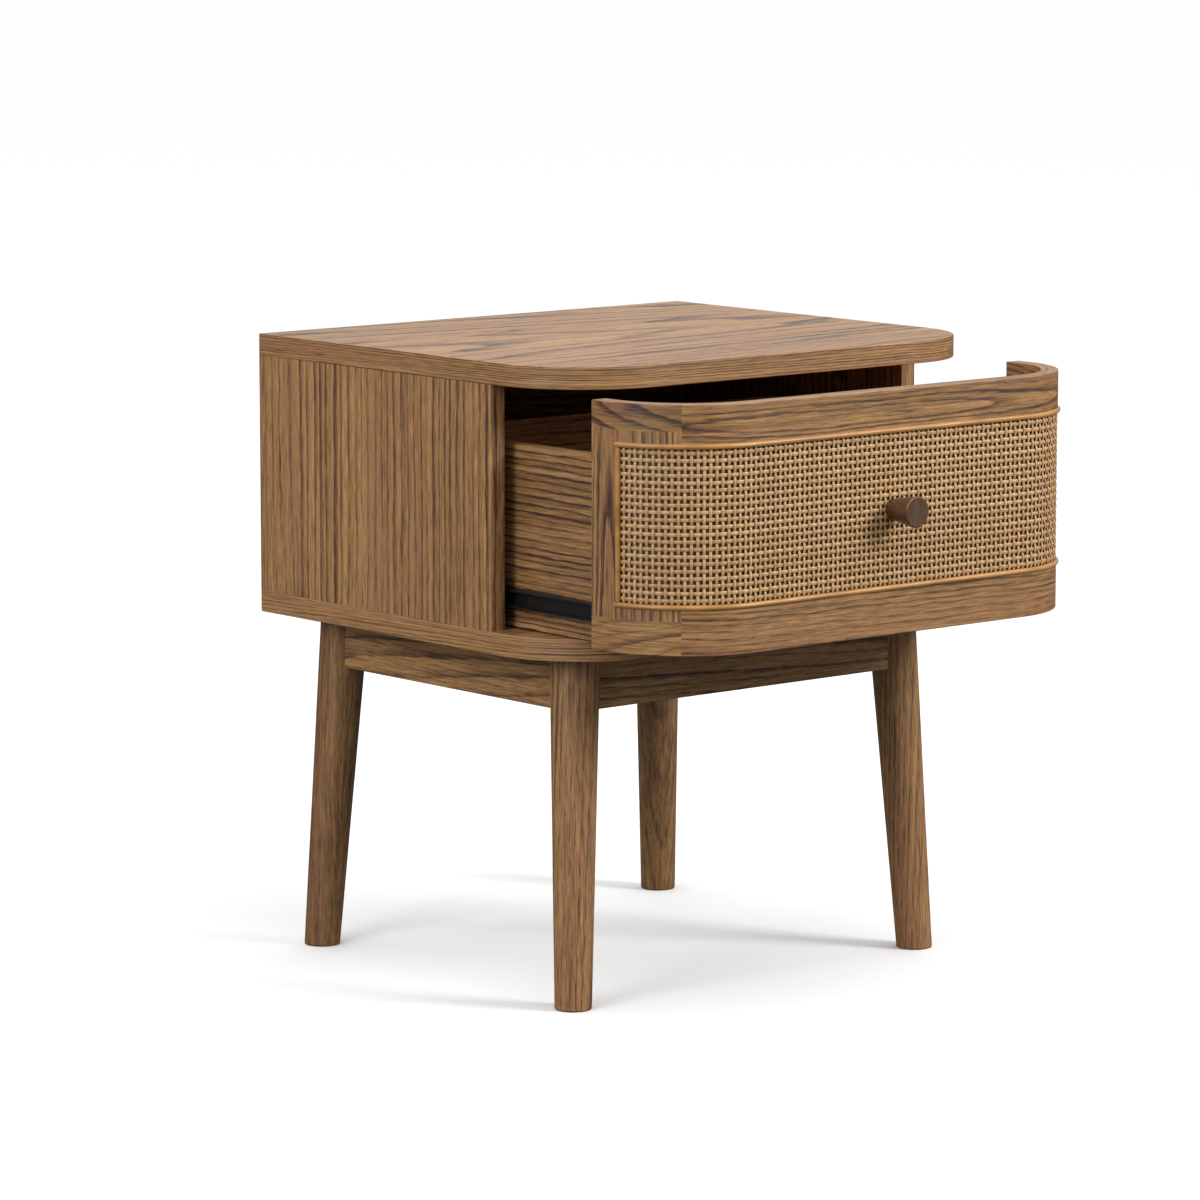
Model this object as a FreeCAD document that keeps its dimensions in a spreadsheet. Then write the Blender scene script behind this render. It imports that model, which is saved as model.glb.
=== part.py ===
import FreeCAD, Part
import math
import os
import Sketcher

# Bedside table: a cabinet on four splayed legs, with one drawer whose front wraps round both corners.
# X runs to the right, Y to the back and Z up, in millimetres. The origin is on the floor, under the
# middle of the whole table with its drawer open by open_travel.

LEFT, RIGHT = -1, 1
SIDES = {"left": LEFT, "right": RIGHT}
VERTICAL = FreeCAD.Vector(0, 0, 1)
SAME = 1e-4  # lengths closer than this count as equal

SIZES = {
    # cabinet
    "cabinet_width": 460,
    "cabinet_depth": 403,
    "total_height": 519,
    "leg_height": 285.5,          # floor to the underside of the bottom panel
    "panel_thickness": 18,
    "corner_radius": 84,
    "side_thickness": 15,
    "side_setback": 13.5,         # front edge of the side panels behind the end of the rounded corner
    "edge_break": 0.8,
    "back_thickness": 4,
    "back_inset": 10,
    "back_groove": 6,
    "back_play": 0.5,
    # legs and base frame
    "foot_radius": 15,
    "leg_top_radius": 20.3,
    "foot_rounding": 1.5,
    "foot_inset_side": 42.8,
    "foot_inset_front": 46.8,
    "foot_inset_back": 24.2,
    "splay_side": 15.1,
    "splay_depth": 15.7,
    "apron_thickness": 18,
    "apron_height": 46,
    "apron_outset": 12.2,         # outer face of an apron beyond the axis of the leg's top
    "block_gap": 1.7,             # from the top of a leg to its corner block
    "block_thickness": 20,
    "block_height": 36,
    "bolt_radius": 4,
    "bolt_start": 5,
    "bolt_tail": 12,
    "bolt_drop": 18,
    "nut_width": 13,
    "nut_thickness": 6.5,
    "nut_flange_radius": 9,
    "nut_flange_thickness": 1.5,
    "block_screw_length": 45,
    "block_screw_spread": 22,
    "apron_dowel_bite": 12,
    # carcass fittings
    "dowel_radius": 4,
    "dowel_length": 30,
    "dowel_pitch": 22,
    "panel_dowel_bite": 10,
    "fitting_margin": 40,
    "cam_margin": 75,
    "cam_radius": 7.5,
    "cam_depth": 12.5,
    "cam_distance": 24,
    "cam_pin_radius": 3,
    "cam_thread_radius": 3.5,
    "cam_thread_length": 11,
    # drawer front
    "front_thickness": 14,
    "front_gap": 1.2,
    "end_gap": 1.5,
    "seam_angle": 42,             # from the flat front round to the seam of a corner piece
    "top_rail_height": 21,
    "bottom_rail_height": 27,
    "bead_radius": 2.1,
    "overcut": 1,
    "seam_overcut": 2,            # in degrees
    "bead_margin_top": 32.5,
    "bead_margin_bottom": 37.8,
    "cane_end_angle": 78,
    "cane_thickness": 2.1,
    "knob_length": 28,
    "knob_base_radius": 8.3,
    "knob_face_radius": 12.5,
    "knob_rim": 0.9,
    "knob_bite": 12,
    # drawer box
    "open_travel": 123.3,
    "box_drop": 48.1,             # top of the box below the top of the front
    "box_thickness": 12,
    "back_room": 20,
    "bottom_thickness": 5,
    "bottom_lift": 8,
    "bottom_groove": 6,
    "bottom_play": 0.5,
    "post_width": 25,
    "post_margin": 6,             # from the dowels to the back of a corner post
    "post_dowel_setback": 14.2,
    "box_dowel_radius": 3,
    "box_dowel_bite": 8,
    "box_dowel_margin": 40,
    "front_screw_spacing": 220,
    # slides
    "slide_gap": 12.7,
    "slide_height": 25,
    "slide_end_gap": 9.5,         # behind the slides, in front of the back panel
    "slide_setback": 2,
    "slide_travel": 190,
    "sheet": 1.2,
    "channel_height": 27,
    "channel_depth": 10,
    "runner_height": 14,
    "runner_depth": 8.5,
    "runner_lead": 8,
    "cage_sheet": 0.7,
    "cage_depth": 7.7,
    "cage_gap": 2.3,
    "cage_length": 75,
    "cage_margin": 2,
    "ball_radius": 2.35,
    "ball_hole_play": 0.2,
    "ball_offset": 5.9,
    "ball_count": 8,
    # screws
    "screw_radius": 2,
    "screw_head_radius": 3.8,
    "screw_head_height": 2,
    "slide_screw_length": 10.5,
    "slide_screw_first": 112,
    "slide_screw_pitch": 64,
    "slide_screw_count": 3,
    "screw_bite": 8,
}

PLACES = {
    "half_width": "Sizes.cabinet_width / 2",
    "knob_reach": "Sizes.knob_length + Sizes.cane_thickness - Sizes.bead_radius",
    "front": "(Sizes.open_travel + Places.knob_reach - Sizes.cabinet_depth) / 2",
    "back": "Places.front + Sizes.cabinet_depth",
    "top_z": "Sizes.total_height - Sizes.panel_thickness",
    "bottom_z": "Sizes.leg_height + Sizes.panel_thickness",
    "side_y": "Places.front + Sizes.corner_radius + Sizes.side_setback",
    "side_x": "Places.half_width - Sizes.side_thickness",
    "back_panel_y": "Places.back - Sizes.back_inset - Sizes.back_thickness",
    "arc_x": "Places.half_width - Sizes.corner_radius",
    # legs
    "foot_x": "Places.half_width - Sizes.foot_inset_side",
    "foot_front_y": "Places.front + Sizes.foot_inset_front",
    "foot_back_y": "Places.back - Sizes.foot_inset_back",
    "leg_x": "Places.foot_x - Sizes.splay_side",
    "leg_front_y": "Places.foot_front_y + Sizes.splay_depth",
    "leg_back_y": "Places.foot_back_y - Sizes.splay_depth",
    "block_near": "Sizes.leg_top_radius + Sizes.block_gap",
    "apron_z": "Sizes.leg_height - Sizes.apron_height",
    "apron_inset": "Sizes.apron_thickness - Sizes.apron_outset",
    "apron_middle": "Sizes.apron_outset - Sizes.apron_thickness / 2",
    # drawer front
    "drawer_y": "Places.front - Sizes.open_travel",
    "shell_arc_y": "Places.drawer_y + Sizes.corner_radius",
    "shell_end_y": "Places.side_y - Sizes.end_gap - Sizes.open_travel",
    "shell_inner_y": "Places.drawer_y + Sizes.front_thickness",
    "shell_z": "Places.bottom_z + Sizes.front_gap",
    "shell_height": "Places.top_z - Sizes.front_gap - Places.shell_z",
    "inner_radius": "Sizes.corner_radius - Sizes.front_thickness",
    "recess_radius": "Sizes.corner_radius - Sizes.bead_radius",
    "bead_angle": "asin(Sizes.bead_radius / Sizes.corner_radius) / 1 deg",
    "bead_end_angle": "Sizes.cane_end_angle + Places.bead_angle",
    "bead_low_z": "Places.shell_z + Sizes.bead_margin_bottom",
    "bead_high_z": "Places.shell_z + Places.shell_height - Sizes.bead_margin_top",
    "knob_z": "(Places.bead_low_z + Places.bead_high_z) / 2",
    # drawer box
    "box_x": "Places.side_x - Sizes.slide_gap",
    "box_inner_x": "Places.box_x - Sizes.box_thickness",
    "box_front_y": "Places.shell_inner_y + Sizes.box_thickness",
    "box_rear_y": "Places.back_panel_y - Sizes.back_room - Sizes.open_travel",
    "box_bottom_z": "Places.shell_z + Sizes.bottom_lift",
    "floor_z": "Places.box_bottom_z + Sizes.bottom_thickness",
    "post_dowel_y": "Places.shell_arc_y - sqrt(Places.inner_radius^2 - (Places.box_inner_x - Places.arc_x)^2)"
                    " + Sizes.post_dowel_setback",
    "box_height": "Places.shell_height - Sizes.box_drop",
    "box_top_z": "Places.shell_z + Places.box_height",
    # slides
    "slide_z": "Places.bottom_z + Sizes.slide_height",
    "channel_y": "Places.side_y + Sizes.slide_setback",
    "slide_length": "Places.back_panel_y - Sizes.slide_end_gap - Places.channel_y",
    "runner_y": "Places.channel_y - Sizes.runner_lead - Sizes.open_travel",
    "cage_y": "Places.channel_y + Sizes.cage_margin + (Sizes.slide_travel - Sizes.open_travel) / 2",
    "cage_z": "Sizes.runner_height / 2 + Sizes.cage_gap",
    "ball_z": "(Sizes.runner_height + Sizes.channel_height - 2 * Sizes.sheet) / 4",
    "ball_x": "Places.box_x + Sizes.ball_offset",
    "ball_pitch": "Sizes.cage_length / Sizes.ball_count",
}

doc = FreeCAD.newDocument("bedside_table")
sheet = doc.addObject("Spreadsheet::Sheet", "Sizes")
for row, (alias, size) in enumerate(SIZES.items(), start=1):
    sheet.set(f"A{row}", alias)
    sheet.set(f"B{row}", str(size))
    sheet.setAlias(f"B{row}", alias)
doc.recompute()

places = doc.addObject("App::VarSet", "Places")
for name, text in PLACES.items():
    places.addProperty("App::PropertyFloat", name)
    places.setExpression(name, text)
    doc.recompute()

nodes = []
cuts = []


# Helpers: text in, bound objects out

def number(text):
    """Present value of an expression."""
    return float(places.evalExpression(text))


def bind(thing, **texts):
    """Binds properties of an object to expressions."""
    for name, text in texts.items():
        thing.setExpression(name, text)


def put(thing, x="0", y="0", z="0", towards=VERTICAL):
    """Places an object, with its own Z axis turned towards a direction."""
    thing.Placement = FreeCAD.Placement(FreeCAD.Vector(), FreeCAD.Rotation(VERTICAL, towards))
    for axis, text in zip("xyz", (x, y, z)):
        thing.setExpression(f"Placement.Base.{axis}", text)


def keep(thing, label):
    """Marks a finished sub-part, which is exported under its label."""
    thing.Label = label
    nodes.append(thing)
    return thing


def pin(sketch, element, point, x, y):
    for kind, text in (("DistanceX", x), ("DistanceY", y)):
        index = sketch.addConstraint(Sketcher.Constraint(kind, -1, 1, element, point, number(text)))
        sketch.setExpression(f"Constraints[{index}]", text)


def sketch_on(body, name, role="XY_Plane", offset="0"):
    sketch = body.newObject("Sketcher::SketchObject", name)
    plane = next(item for item in body.Origin.OriginFeatures if item.Role == role)
    sketch.AttachmentSupport = [(plane, "")]
    sketch.MapMode = "FlatFace"
    sketch.setExpression("AttachmentOffset.Base.z", offset)
    return sketch


def draw_circle(sketch, x, y, radius):
    centre = FreeCAD.Vector(number(x), number(y), 0)
    element = sketch.addGeometry(Part.Circle(centre, VERTICAL, number(radius)))
    pin(sketch, element, 3, x, y)
    index = sketch.addConstraint(Sketcher.Constraint("Radius", element, number(radius)))
    sketch.setExpression(f"Constraints[{index}]", radius)


def add_edge(sketch, start, step):
    """Adds the line or arc that leads from start to the step, and returns it with its two end numbers."""
    a = FreeCAD.Vector(number(start[0]), number(start[1]), 0)
    b = FreeCAD.Vector(number(step[0]), number(step[1]), 0)
    if len(step) == 2:
        return sketch.addGeometry(Part.LineSegment(a, b)), 1, 2
    centre = FreeCAD.Vector(number(step[2]), number(step[3]), 0)
    counterclockwise = (a - centre).cross(b - centre).z > 0
    first, last = (a, b) if counterclockwise else (b, a)
    angles = [math.atan2(end.y - centre.y, end.x - centre.x) for end in (first, last)]
    arc = Part.ArcOfCircle(Part.Circle(centre, VERTICAL, (a - centre).Length), *angles)
    element = sketch.addGeometry(arc)
    index = sketch.addConstraint(Sketcher.Constraint("Radius", element, number(step[4])))
    sketch.setExpression(f"Constraints[{index}]", step[4])
    return (element, 1, 2) if counterclockwise else (element, 2, 1)


def draw(sketch, steps, closed=True):
    """An outline. A step is a point, with a centre and radius after it if an arc leads there."""
    starts = [steps[-1]] + steps[:-1] if closed else steps[:-1]
    edges = [add_edge(sketch, start, step) for start, step in zip(starts, steps if closed else steps[1:])]
    for (element, first, _), start in zip(edges, starts):
        pin(sketch, element, first, start[0], start[1])
    for (one, _, last), (other, first, _) in zip(edges, edges[1:] + edges[:1] if closed else edges[1:]):
        sketch.addConstraint(Sketcher.Constraint("Coincident", one, last, other, first))
    if not closed:
        pin(sketch, edges[-1][0], edges[-1][2], steps[-1][0], steps[-1][1])


def rectangle(x_low, x_high, y_low, y_high):
    return [(x_low, y_low), (x_high, y_low), (x_high, y_high), (x_low, y_high)]


def pad(body, sketch, length):
    feature = body.newObject("PartDesign::Pad", f"{body.Name}_pad")
    feature.Profile = sketch
    bind(feature, Length=length)
    doc.recompute()
    return feature


def pocket(body, sketch, length, upward=False):
    """Cuts below the sketch, or above it if upward."""
    before = body.Shape.Volume
    feature = body.newObject("PartDesign::Pocket", f"{body.Name}_pocket")
    feature.Profile = sketch
    feature.Reversed = upward
    bind(feature, Length=length)
    doc.recompute()
    cuts.append((body.Name, before, body.Shape.Volume))
    return feature


def round_edges(body, chosen, radius="Sizes.edge_break"):
    """Rounds the edges of the body so far that chosen(edge) picks."""
    names = [f"Edge{i}" for i, edge in enumerate(body.Shape.Edges, start=1) if chosen(edge)]
    solid = body.Tip
    feature = body.newObject("PartDesign::Fillet", f"{body.Name}_rounding")
    feature.Base = (solid, names)
    bind(feature, Radius=radius)
    doc.recompute()
    return feature


def level(edge):
    """True for an edge that lies at one height."""
    return edge.BoundBox.ZLength < SAME


def long_edges(body, z):
    """Chooses the long edges of a board that lie at one height."""
    half = max(edge.Length for edge in body.Shape.Edges) / 2
    return lambda edge: level(edge) and edge.Length > half and abs(edge.BoundBox.ZMin - z) < SAME


def extruded(name, steps, z, height):
    """A body padded upwards from an outline, standing at z."""
    body = doc.addObject("PartDesign::Body", name)
    sketch = sketch_on(body, f"{name}_outline")
    draw(sketch, steps)
    pad(body, sketch, height)
    put(body, z=z)
    return body


def group(kind, name, shapes):
    """A Part::MultiFuse or Part::Compound of several shapes."""
    thing = doc.addObject(kind, name)
    if kind == "Part::MultiFuse":
        thing.Shapes = shapes
    else:
        thing.Links = shapes
    return thing


def subtract(name, base, tool):
    thing = doc.addObject("Part::Cut", name)
    thing.Base = base
    thing.Tool = tool
    return thing


def rod(name, radius, length, x, y, z, towards=VERTICAL):
    thing = doc.addObject("Part::Cylinder", name)
    bind(thing, Radius=radius, Height=length)
    put(thing, x, y, z, towards)
    return thing


def screw(name, length, x, y, z, towards):
    """Countersunk screw, with the flat of its head at x, y, z. Returns its head and shank."""
    head = doc.addObject("Part::Cone", f"{name}_head")
    bind(head, Radius1="Sizes.screw_head_radius", Radius2="Sizes.screw_radius",
         Height="Sizes.screw_head_height")
    put(head, x, y, z, towards)
    return [head, rod(f"{name}_shank", "Sizes.screw_radius", length, x, y, z, towards)]


def along_x(side):
    return FreeCAD.Vector(side, 0, 0)


# Cabinet

def panel_outline():
    """Top and bottom panels: square at the back, round at both front corners."""
    radius, y = "Sizes.corner_radius", "Places.front + Sizes.corner_radius"
    return [
        ("Places.half_width", "Places.back"),
        ("-Places.half_width", "Places.back"),
        ("-Places.half_width", y),
        ("-Places.arc_x", "Places.front", "-Places.arc_x", y, radius),
        ("Places.arc_x", "Places.front"),
        ("Places.half_width", y, "Places.arc_x", y, radius),
    ]


def back_groove_outline():
    x = "Places.side_x + Sizes.back_groove"
    return rectangle(f"-({x})", x, "Places.back_panel_y", "Places.back_panel_y + Sizes.back_thickness")


def horizontal_panel(name, z, groove_offset, groove_upward):
    body = extruded(name, panel_outline(), z, "Sizes.panel_thickness")
    round_edges(body, level)
    groove = sketch_on(body, f"{name}_groove", offset=groove_offset)
    draw(groove, back_groove_outline())
    pocket(body, groove, "Sizes.back_groove", groove_upward)
    return body


def side_panel(name, side):
    """Stands between the top and bottom panels, with a groove for the back panel in its inner face."""
    outer, inner = f"{side} * Places.half_width", f"{side} * Places.side_x"
    groove = f"{side} * (Places.side_x + Sizes.back_groove)"
    outline = [
        (outer, "Places.side_y"),
        (outer, "Places.back"),
        (inner, "Places.back"),
        (inner, "Places.back_panel_y + Sizes.back_thickness"),
        (groove, "Places.back_panel_y + Sizes.back_thickness"),
        (groove, "Places.back_panel_y"),
        (inner, "Places.back_panel_y"),
        (inner, "Places.side_y"),
    ]
    body = extruded(name, outline, "Places.bottom_z", "Places.top_z - Places.bottom_z")
    front = number("Places.side_y")
    round_edges(body, lambda edge: not level(edge) and abs(edge.BoundBox.YMin - front) < SAME)
    return body


def back_panel():
    panel = doc.addObject("Part::Box", "back_panel")
    reach = "(Sizes.back_groove - Sizes.back_play)"
    bind(panel,
         Length=f"2 * (Places.side_x + {reach})",
         Width="Sizes.back_thickness",
         Height=f"Places.top_z - Places.bottom_z + 2 * {reach}")
    put(panel, f"-(Places.side_x + {reach})", "Places.back_panel_y", f"Places.bottom_z - {reach}")
    return panel


# Legs and base frame

def leg(name, side, row):
    """Round tapered leg, leaning outwards: a foot circle and a top circle joined by straight lines."""
    body = doc.addObject("PartDesign::Body", name)
    foot = sketch_on(body, f"{name}_foot")
    draw_circle(foot, f"{side} * Places.foot_x", f"Places.foot_{row}_y", "Sizes.foot_radius")
    head = sketch_on(body, f"{name}_head", offset="Sizes.leg_height")
    draw_circle(head, f"{side} * Places.leg_x", f"Places.leg_{row}_y", "Sizes.leg_top_radius")
    taper = body.newObject("PartDesign::AdditiveLoft", f"{name}_taper")
    taper.Profile = head
    taper.Sections = [foot]
    taper.Ruled = True
    doc.recompute()
    round_edges(body, lambda edge: edge.BoundBox.ZMax < SAME, "Sizes.foot_rounding")
    return body


def apron(name, outline):
    """Rail between two legs, rounded along its lower edges. The legs cut its ends to their own shape."""
    body = extruded(name, outline, "Places.apron_z", "Sizes.apron_height")
    round_edges(body, long_edges(body, body.Shape.BoundBox.ZMin))
    return body


def cross_apron_outline(row, outward):
    outer = f"Places.leg_{row}_y + {outward} * Sizes.apron_outset"
    inner = f"Places.leg_{row}_y - {outward} * Places.apron_inset"
    return rectangle("-Places.leg_x", "Places.leg_x", *sorted((outer, inner), key=number))


def side_apron_outline(side):
    outer = f"{side} * (Places.leg_x + Sizes.apron_outset)"
    inner = f"{side} * (Places.leg_x - Places.apron_inset)"
    return rectangle(*sorted((outer, inner), key=number), "Places.leg_front_y", "Places.leg_back_y")


def corner_block(name, side, row, inward):
    """Block across the corner of the frame, square to the diagonal through the leg."""
    near = "Places.block_near * sqrt(2) - Places.apron_inset"
    far = "(Places.block_near + Sizes.block_thickness) * sqrt(2) - Places.apron_inset"
    along = [("Places.apron_inset", near), (near, "Places.apron_inset"),
             (far, "Places.apron_inset"), ("Places.apron_inset", far)]
    outline = [(f"{side} * (Places.leg_x - ({u}))", f"Places.leg_{row}_y + {inward} * ({v})")
               for u, v in along]
    return extruded(name, outline, "Sizes.leg_height - Sizes.block_height", "Sizes.block_height")


def on_diagonal(side, row, inward, distance):
    """A point of the frame's corner, at a distance inwards from the leg's axis."""
    return (f"{side} * (Places.leg_x - ({distance}) / sqrt(2))",
            f"Places.leg_{row}_y + {inward} * ({distance}) / sqrt(2)",
            "Sizes.leg_height - Sizes.bolt_drop")


def hanger_bolt(name, side, row, inward):
    length = "Places.block_near + Sizes.block_thickness + Sizes.bolt_tail - Sizes.bolt_start"
    place = on_diagonal(side, row, inward, "Sizes.bolt_start")
    return rod(name, "Sizes.bolt_radius", length, *place, FreeCAD.Vector(-side, inward, 0))


def flange_nut(name, side, row, inward):
    """Returns the flange and the hexagon of one nut, both still without their thread hole."""
    seat = "Places.block_near + Sizes.block_thickness"
    towards = FreeCAD.Vector(-side, inward, 0)
    flange = rod(f"{name}_flange", "Sizes.nut_flange_radius", "Sizes.nut_flange_thickness",
                 *on_diagonal(side, row, inward, seat), towards)
    hexagon = doc.addObject("Part::Prism", f"{name}_hexagon")
    hexagon.Polygon = 6
    bind(hexagon, Circumradius="Sizes.nut_width / sqrt(3)", Height="Sizes.nut_thickness")
    put(hexagon, *on_diagonal(side, row, inward, seat), towards)
    return [flange, hexagon]


def block_screws(name, side, row, inward):
    """Two screws up through a corner block into the bottom panel."""
    parts = []
    for end in (LEFT, RIGHT):
        middle = "(Places.block_near + Sizes.block_thickness / 2)"
        spread = f"{end} * Sizes.block_screw_spread / 2"
        x = f"{side} * (Places.leg_x - ({middle} + {spread}) / sqrt(2))"
        y = f"Places.leg_{row}_y + {inward} * ({middle} - {spread}) / sqrt(2)"
        z = "Sizes.leg_height - Sizes.block_height"
        parts += screw(f"{name}_{end + 1}", "Sizes.block_screw_length", x, y, z, VERTICAL)
    return parts


def apron_dowels(name, side, row, inward):
    """Two dowels from each apron into one leg."""
    inside = "Sizes.leg_top_radius - Sizes.apron_dowel_bite"
    parts = []
    for end in (LEFT, RIGHT):
        z = f"Sizes.leg_height - Sizes.apron_height / 2 + {end} * Sizes.dowel_pitch / 2"
        parts.append(rod(f"{name}_cross_{end + 1}", "Sizes.dowel_radius", "Sizes.dowel_length",
                         f"{side} * (Places.leg_x - ({inside}))",
                         f"Places.leg_{row}_y - {inward} * Places.apron_middle", z, along_x(-side)))
        parts.append(rod(f"{name}_side_{end + 1}", "Sizes.dowel_radius", "Sizes.dowel_length",
                         f"{side} * (Places.leg_x + Places.apron_middle)",
                         f"Places.leg_{row}_y + {inward} * ({inside})", z, FreeCAD.Vector(0, inward, 0)))
    return parts


# Carcass fittings

def panel_joints():
    """Each place where a side panel's end meets a horizontal panel: side, height, way into the side panel."""
    for side_name, side in SIDES.items():
        yield f"{side_name}_low", side, "Places.bottom_z", 1
        yield f"{side_name}_high", side, "Places.top_z", -1


def joint_rows(margin):
    return ["Places.side_y + " + margin, "Places.back_panel_y - " + margin]


def panel_dowels():
    dowels = []
    for name, side, z, inward in panel_joints():
        for index, y in enumerate(joint_rows("Sizes.fitting_margin")):
            dowels.append(rod(f"panel_dowel_{name}_{index}", "Sizes.dowel_radius", "Sizes.dowel_length",
                              f"{side} * (Places.side_x + Sizes.side_thickness / 2)", y,
                              f"{z} - {inward} * Sizes.panel_dowel_bite", FreeCAD.Vector(0, 0, inward)))
    return group("Part::MultiFuse", "panel_dowels", dowels)


def cam_bolts():
    """A thread in the horizontal panel and a pin that reaches the cam in the side panel."""
    parts = []
    for name, side, z, inward in panel_joints():
        x = f"{side} * (Places.half_width - Sizes.side_thickness / 2)"
        for index, y in enumerate(joint_rows("Sizes.cam_margin")):
            parts.append(rod(f"cam_thread_{name}_{index}", "Sizes.cam_thread_radius",
                             "Sizes.cam_thread_length", x, y, z, FreeCAD.Vector(0, 0, -inward)))
            parts.append(rod(f"cam_pin_{name}_{index}", "Sizes.cam_pin_radius", "Sizes.cam_distance",
                             x, y, z, FreeCAD.Vector(0, 0, inward)))
    return group("Part::MultiFuse", "cam_bolts", parts)


def cam_discs(bolts):
    discs = []
    for name, side, z, inward in panel_joints():
        for index, y in enumerate(joint_rows("Sizes.cam_margin")):
            discs.append(rod(f"cam_disc_{name}_{index}", "Sizes.cam_radius", "Sizes.cam_depth",
                             f"{side} * Places.side_x", y, f"{z} + {inward} * Sizes.cam_distance",
                             along_x(side)))
    return subtract("cam_discs", group("Part::MultiFuse", "cam_blanks", discs), bolts)


# Drawer front

def on_shell(side, radius, angle):
    """Point of the front's outline on an arc of the given radius, at an angle round from the flat front."""
    return (f"{side} * (Places.arc_x + ({radius}) * sin({angle}))",
            f"Places.shell_arc_y - ({radius}) * cos({angle})")


def shell_centre(side):
    return (f"{side} * Places.arc_x", "Places.shell_arc_y")


def band_outline(outer, inner, angle):
    """The strip between two radii that runs from an angle on the left corner to the same on the right."""
    return [
        on_shell(LEFT, outer, angle),
        (*on_shell(LEFT, outer, "0"), *shell_centre(LEFT), outer),
        on_shell(RIGHT, outer, "0"),
        (*on_shell(RIGHT, outer, angle), *shell_centre(RIGHT), outer),
        on_shell(RIGHT, inner, angle),
        (*on_shell(RIGHT, inner, "0"), *shell_centre(RIGHT), inner),
        on_shell(LEFT, inner, "0"),
        (*on_shell(LEFT, inner, angle), *shell_centre(LEFT), inner),
    ]


def sector_outline(side, outer, inner, start, end):
    """The strip between two radii on one corner, from a start angle to an end angle."""
    return [
        on_shell(side, outer, start),
        (*on_shell(side, outer, end), *shell_centre(side), outer),
        on_shell(side, inner, end),
        (*on_shell(side, inner, start), *shell_centre(side), inner),
    ]


def corner_outline(side):
    """A corner of the front, from its seam round to the straight end beside the cabinet."""
    outer, inner = "Sizes.corner_radius", "Places.inner_radius"
    return [
        on_shell(side, outer, "Sizes.seam_angle"),
        (*on_shell(side, outer, "90"), *shell_centre(side), outer),
        (f"{side} * Places.half_width", "Places.shell_end_y"),
        (f"{side} * (Places.half_width - Sizes.front_thickness)", "Places.shell_end_y"),
        on_shell(side, inner, "90"),
        (*on_shell(side, inner, "Sizes.seam_angle"), *shell_centre(side), inner),
    ]


def recess(body, z, steps):
    """Cuts the field that takes the cane and its beads, in a body that stands at z."""
    field = sketch_on(body, f"{body.Name}_field", offset=f"Places.bead_low_z - Sizes.bead_radius - ({z})")
    draw(field, steps)
    pocket(body, field, "Places.bead_high_z - Places.bead_low_z + 2 * Sizes.bead_radius", True)


def front_board():
    outline = band_outline("Sizes.corner_radius", "Places.inner_radius", "Sizes.seam_angle")
    body = extruded("front_board_blank", outline, "Places.shell_z", "Places.shell_height")
    round_edges(body, lambda edge: level(edge) and edge.Length > 2 * number("Sizes.front_thickness"))
    recess(body, "Places.shell_z", band_outline("Sizes.corner_radius + Sizes.overcut", "Places.recess_radius",
                                                "Sizes.seam_angle + Sizes.seam_overcut"))
    return body


def corner_panel(name, side):
    z = "Places.shell_z + Sizes.bottom_rail_height"
    height = "Places.shell_height - Sizes.top_rail_height - Sizes.bottom_rail_height"
    body = extruded(name, corner_outline(side), z, height)
    recess(body, z, sector_outline(side, "Sizes.corner_radius + Sizes.overcut", "Places.recess_radius",
                                   "Sizes.seam_angle - Sizes.seam_overcut", "Places.bead_end_angle"))
    return body


def corner_rail(name, side, z, height, at_top):
    """Horizontal strip above or below a corner panel, rounded along its free edge."""
    body = extruded(name, corner_outline(side), z, height)
    box = body.Shape.BoundBox
    free = box.ZMax if at_top else box.ZMin
    seam = number(on_shell(side, "Sizes.corner_radius", "Sizes.seam_angle")[0])
    thickness = number("Sizes.front_thickness")

    def chosen(edge):
        at_seam = all(abs(point.X - seam) < thickness for point in edge.Vertexes)
        return level(edge) and abs(edge.BoundBox.ZMin - free) < SAME and not at_seam

    round_edges(body, chosen)
    return body


def cane_webbing():
    inner = "Places.recess_radius"
    angle = "Sizes.cane_end_angle - Places.bead_angle"
    return extruded("cane_sheet", band_outline(f"{inner} + Sizes.cane_thickness", inner, angle),
                    "Places.bead_low_z + Sizes.bead_radius",
                    "Places.bead_high_z - Places.bead_low_z - 2 * Sizes.bead_radius")


def long_bead(name, z):
    """Rod bent round the front: half of it is swept from the middle, then mirrored."""
    body = doc.addObject("PartDesign::Body", name)
    section = sketch_on(body, f"{name}_section", "YZ_Plane")
    draw_circle(section, "Places.drawer_y", "0", "Sizes.bead_radius")
    route = sketch_on(body, f"{name}_route")
    radius = "Sizes.corner_radius"
    draw(route, [
        ("0", "Places.drawer_y"),
        on_shell(RIGHT, radius, "0"),
        (*on_shell(RIGHT, radius, "Places.bead_end_angle"), *shell_centre(RIGHT), radius),
    ], closed=False)
    sweep = body.newObject("PartDesign::AdditivePipe", f"{name}_sweep")
    sweep.Profile = section
    sweep.Spine = (route, ["Edge1", "Edge2"])
    doc.recompute()
    both = body.newObject("PartDesign::Mirrored", f"{name}_both")
    both.Originals = [sweep]
    both.MirrorPlane = (next(item for item in body.Origin.OriginFeatures if item.Role == "YZ_Plane"), [""])
    body.Tip = both
    put(body, z=z)
    return body


def short_bead(name, side):
    x, y = on_shell(side, "Sizes.corner_radius", "Sizes.cane_end_angle")
    return rod(name, "Sizes.bead_radius", "Places.bead_high_z - Places.bead_low_z - 2 * Sizes.bead_radius",
               x, y, "Places.bead_low_z + Sizes.bead_radius")


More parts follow.
